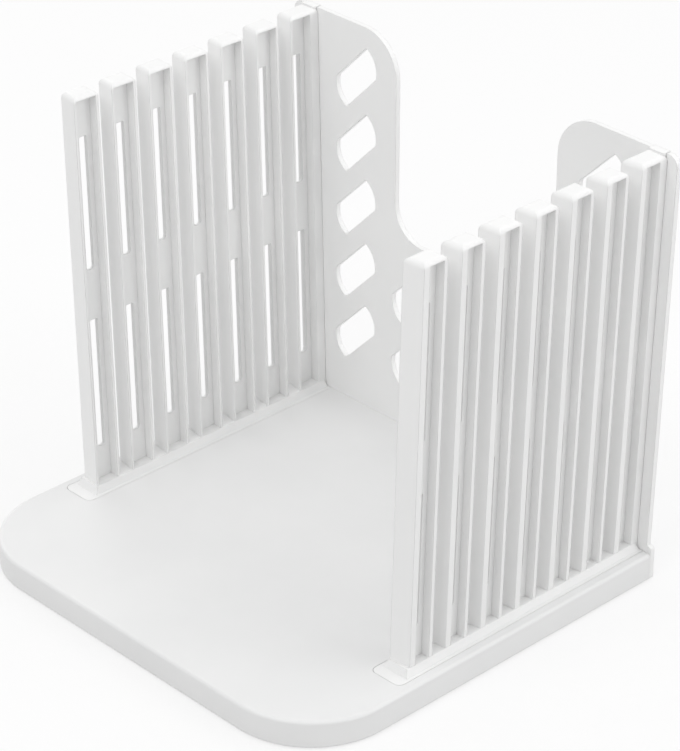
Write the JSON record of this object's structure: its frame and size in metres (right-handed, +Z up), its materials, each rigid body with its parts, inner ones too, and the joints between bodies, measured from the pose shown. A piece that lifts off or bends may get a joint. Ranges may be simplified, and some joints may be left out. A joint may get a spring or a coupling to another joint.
{
  "type": "bread slicer guide",
  "caption": "Board with a slotted rack standing on each side and a pierced plate across the back, which guide a knife through a loaf in even slices.",
  "frame": {"origin": "on the table, under the middle of the whole guide's box", "axes": "+Z up, front towards -Y, +X to the right seen from the front"},
  "size_m": [0.1788, 0.1624, 0.1611],
  "materials": {
    "white_plastic": "injection-moulded white plastic, satin",
    "pad_rubber": "light grey soft rubber"
  },
  "bodies": {
    "board": {"board": "white_plastic", "pad_front_left": "pad_rubber", "pad_front_right": "pad_rubber", "pad_rear_left": "pad_rubber", "pad_rear_right": "pad_rubber"},
    "left_rack": {"left_rack": "white_plastic"},
    "right_rack": {"right_rack": "white_plastic"},
    "back_plate": {"back_plate": "white_plastic"}
  },
  "joints": [
    {"name": "left_rack_lift", "type": "slide", "parent": "board", "child": "left_rack", "axis": [0, 0, 1], "range_m": [0, 0.009]},
    {"name": "right_rack_lift", "type": "slide", "parent": "board", "child": "right_rack", "axis": [0, 0, 1], "range_m": [0, 0.009]},
    {"name": "back_plate_pull", "type": "slide", "parent": "board", "child": "back_plate", "axis": [0, 1, 0], "range_m": [0, 0.0085]}
  ]
}
